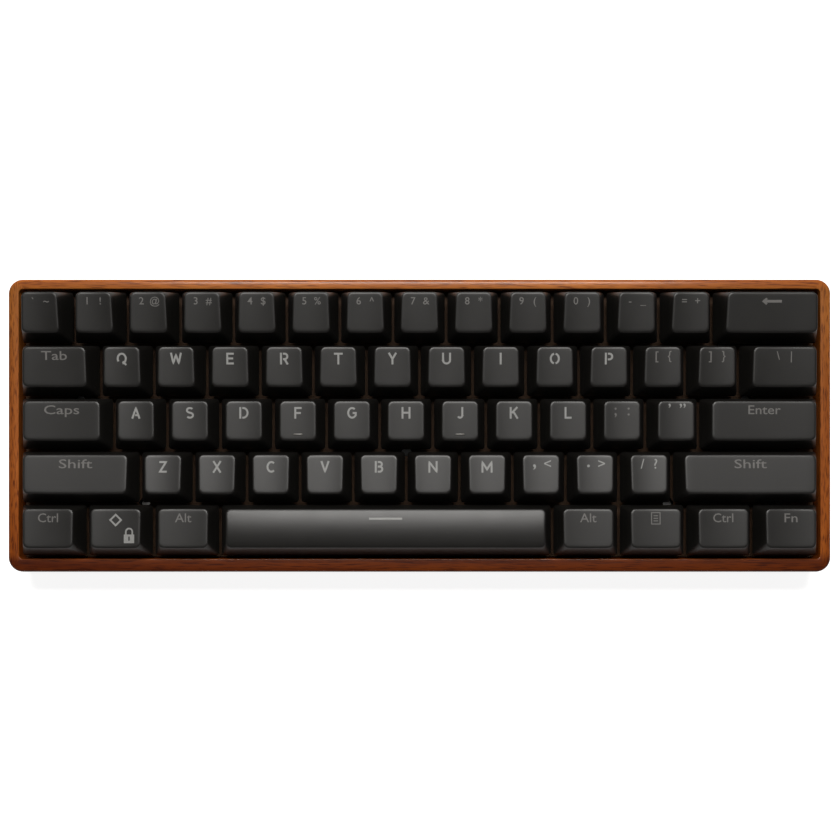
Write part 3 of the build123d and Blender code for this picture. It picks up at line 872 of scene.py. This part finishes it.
def legend(name, row):
    """The polygons of a key's legend: the bright ones and the dim ones."""
    if len(name) == 1 and name.isalpha():
        return stencil_letter(name.upper(), letter_y), []
    if name in pairs:
        left, right = pairs[name].split(" ")
        height = mark_heights[row]
        # a comma and a full stop are drawn large and raised, to be read beside their pair
        growth, lift = (1.6, 1.4 * mm) if left in ",." else (1, 0)
        marks = words(left, height * growth, -pair_spread, small_y + lift)
        marks += words(right, height, pair_spread, small_y)
        return (marks, []) if row == "lower" or name == "quote" else ([], marks)
    if name in named:
        text, width = named[name]
        return [], words(text, word_height, 0, small_y, width * mm)
    if name == "backspace":
        return [], (line([(-2.7, 0), (3.3, 0)], 0.9 * mm, 0, small_y)
                    + line([(-1.9, 1.0), (-3.1, 0), (-1.9, -1.0)], 0.75 * mm, 0, small_y))
    if name == "left_system":
        # a plain diamond, and a padlock for the key that locks it
        diamond = line([(-0.95, 0.95), (0, 1.9), (1.9, 0), (0, -1.9), (-1.9, 0), (-0.95, 0.95)],
                       0.6 * mm, 0, 3.8 * mm)
        padlock = [polygon for stroke, width in (
            ([(-1.85, -2.5), (1.85, -2.5)], 0.9), ([(-1.85, -0.25), (1.85, -0.25)], 0.7),
            ([(-1.85, -1.35), (-0.25, -1.35)], 1.6), ([(0.25, -1.35), (1.85, -1.35)], 1.6),
            ([(-1.15, 0)] + bow(0, 1.1, 1.15, 1.1, 180, 0) + [(1.15, 0)], 0.55))
            for polygon in line(stroke, width * mm, 4.8 * mm, -1.4 * mm)]
        return padlock + diamond, []
    if name == "menu":
        page = [(-1.5, 0), (-1.5, 2.0), (1.5, 2.0), (1.5, -2.0), (-1.5, -2.0), (-1.5, 0)]
        return [], (line(page, 0.35 * mm, 0, small_y)
                    + [polygon for up in (-0.9, 0, 0.9)
                       for polygon in line([(-0.8, up), (0.8, up)], 0.35 * mm, 0, small_y)])
    # the space bar has one long stroke
    return line([(-5.85, 0), (5.85, 0)], 0.7 * mm, 0, 4.3 * mm), []


def cap_mesh(name, row, units):
    """The finished mesh of a cap with its legend."""
    work, top = keycap(row, units, space_bulge if name == "space" else 0)
    if name in ("f", "j"):
        homing_bar(work, top)
    bright, dim = legend(name, row)
    print_on(work, top, bright, bright_legend)
    print_on(work, top, dim, dim_legend)
    return shade(plain_mesh(work, "cap_" + name), cap_sharp_degrees)


# Matt moulded ABS: near black, a little warm, with the mould's fine spark texture and a soft
# sheen. Fingers polish it in patches.
cap_plastic, tree, shader = new_material("matt_moulded_abs")
spark_size = 0.25 * mm    # twice the size of real ones, so that they show
place = mottle(tree, shader, spark_size, "#100f0d", "#151311", relief=0.012 * mm)
wear_size = 9 * mm        # across a patch, about a fingertip
wear = add(tree, "ShaderNodeTexNoise", {"Vector": place, "Scale": 1 / wear_size})["Fac"]
polish = add(tree, "ShaderNodeMapRange", {"Value": wear, "To Min": 0.38,
                                          "To Max": 0.45})["Result"]
tree.links.new(polish, shader["Roughness"])

# The letters are a second shot of pale grey ABS, other legends a dimmer pad print, and the homing
# bars are glossy ABS coloured pale grey as a painted highlight. All show the same spark texture.
cap_plastics = [cap_plastic]
for name, roughness, dark, light in (("second_shot_legend", 0.5, "#80807e", "#8c8c8a"),
                                     ("pad_printed_legend", 0.5, "#5a5856", "#646260"),
                                     ("rubbed_abs", 0.25, "#62605c", "#6e6c68")):
    plastic, tree, shader = new_material(name, roughness)
    mottle(tree, shader, spark_size, dark, light)
    cap_plastics.append(plastic)

for name, row, units, node, spot in keys:
    cap = piece("cap_" + name, cap_mesh(name, row, units), spot, node, "keycap_plastic", node)
    for plastic in cap_plastics:
        cap.data.materials.append(plastic)

# --- Floor, light and camera ------------------------------------------------------------------
# The keyboard lies on a sweep of plain white paper, under a broad soft lamp above and behind it, in
# a room that is dim overhead. The camera looks straight down on the deck.
floor_work = bmesh.new()
floor_reach = 3.0
bmesh.ops.create_grid(floor_work, x_segments=2, y_segments=2, size=floor_reach)
floor = bpy.data.objects.new("floor", plain_mesh(floor_work, "floor"))
bpy.context.collection.objects.link(floor)

# White paper: dry and pale, faintly clouded by its fibres.
paper, tree, shader = new_material("white_paper", 0.8)
place = mottle(tree, shader, 2 * mm, "#cdcdcd", "#d3d3d3")
# it shows white where it is seen, and glossy things mirror a part of that
mirrored_share = 0.15
sight = add(tree, "ShaderNodeLightPath")
mirrored = add(tree, "ShaderNodeMath", {0: sight["Is Glossy Ray"], 1: mirrored_share},
               operation="MULTIPLY")["Value"]
seen = add(tree, "ShaderNodeMath", {0: sight["Is Camera Ray"], 1: sight["Is Transmission Ray"]},
           operation="MAXIMUM")["Value"]
seen = add(tree, "ShaderNodeMath", {0: seen, 1: mirrored}, operation="MAXIMUM")["Value"]
# the sweep is whitest away from the keyboard, where no shadow falls
away = add(tree, "ShaderNodeVectorMath", {0: place}, operation="LENGTH")["Value"]
whiteness = add(tree, "ShaderNodeMapRange", {"Value": away, "From Min": 0.35, "From Max": 0.8,
                                             "To Min": 0.87, "To Max": 1.0})["Result"]
backing = add(tree, "ShaderNodeMath", {0: seen, 1: whiteness}, operation="MULTIPLY")["Value"]
shader["Emission Color"].default_value = srgb("#ffffff")
tree.links.new(backing, shader["Emission Strength"])
floor.data.materials.append(paper)

world = bpy.data.worlds.new("studio")
world.use_nodes = True
bpy.context.scene.world = world
tree = world.node_tree
tree.nodes.clear()
sight = add(tree, "ShaderNodeLightPath")
seen = add(tree, "ShaderNodeMath", {0: sight["Is Camera Ray"], 1: sight["Is Transmission Ray"]},
           operation="MAXIMUM")["Value"]
# the room is dim overhead and paler towards its walls
upward = add(tree, "ShaderNodeTexCoord")["Generated"]
height = add(tree, "ShaderNodeSeparateXYZ", {"Vector": upward})["Z"]
room_level = add(tree, "ShaderNodeMapRange", {"Value": height, "From Min": 0.0, "From Max": 0.7,
                                              "To Min": 0.4, "To Max": 0.05})["Result"]
strength = add(tree, "ShaderNodeMapRange", {"Value": seen, "To Min": room_level,
                                            "To Max": 1.0})["Result"]
sky = add(tree, "ShaderNodeBackground", {"Color": srgb("#ffffff"), "Strength": strength})
add(tree, "ShaderNodeOutputWorld", {"Surface": sky["Background"]})

softbox = bpy.data.lights.new("softbox", "AREA")
softbox.shape = "RECTANGLE"
softbox.size = 0.6
softbox.size_y = 0.35
softbox.energy = 12.8     # watts
softbox.color = (1.0, 0.98, 0.95)
lamp = bpy.data.objects.new("softbox", softbox)
bpy.context.collection.objects.link(lamp)
# 26 degrees behind the deck's upright, so that the tops that lean back are the brighter ones
lamp_lean = math.radians(26)
lamp_distance = 1.1
lamp_way = deck_up * math.cos(lamp_lean) + deck_back * math.sin(lamp_lean)
lamp.matrix_world = Matrix.Translation(deck_origin + lamp_way * lamp_distance) @ (
    lamp_way.to_track_quat("Z", "Y").to_matrix().to_4x4())

view = bpy.data.cameras.new("view")
view.sensor_width = 36
view.lens = 54.6
view.shift_y = 0.085
view.clip_start = 0.01
camera = bpy.data.objects.new("view", view)
bpy.context.collection.objects.link(camera)
# a little in front of the deck's middle, and square to it
camera_forward = 0.024
camera_height = 0.463
camera.matrix_world = deck @ Matrix.Translation((0, -camera_forward, camera_height))
bpy.context.scene.camera = camera
bpy.context.scene.view_settings.view_transform = "Standard"
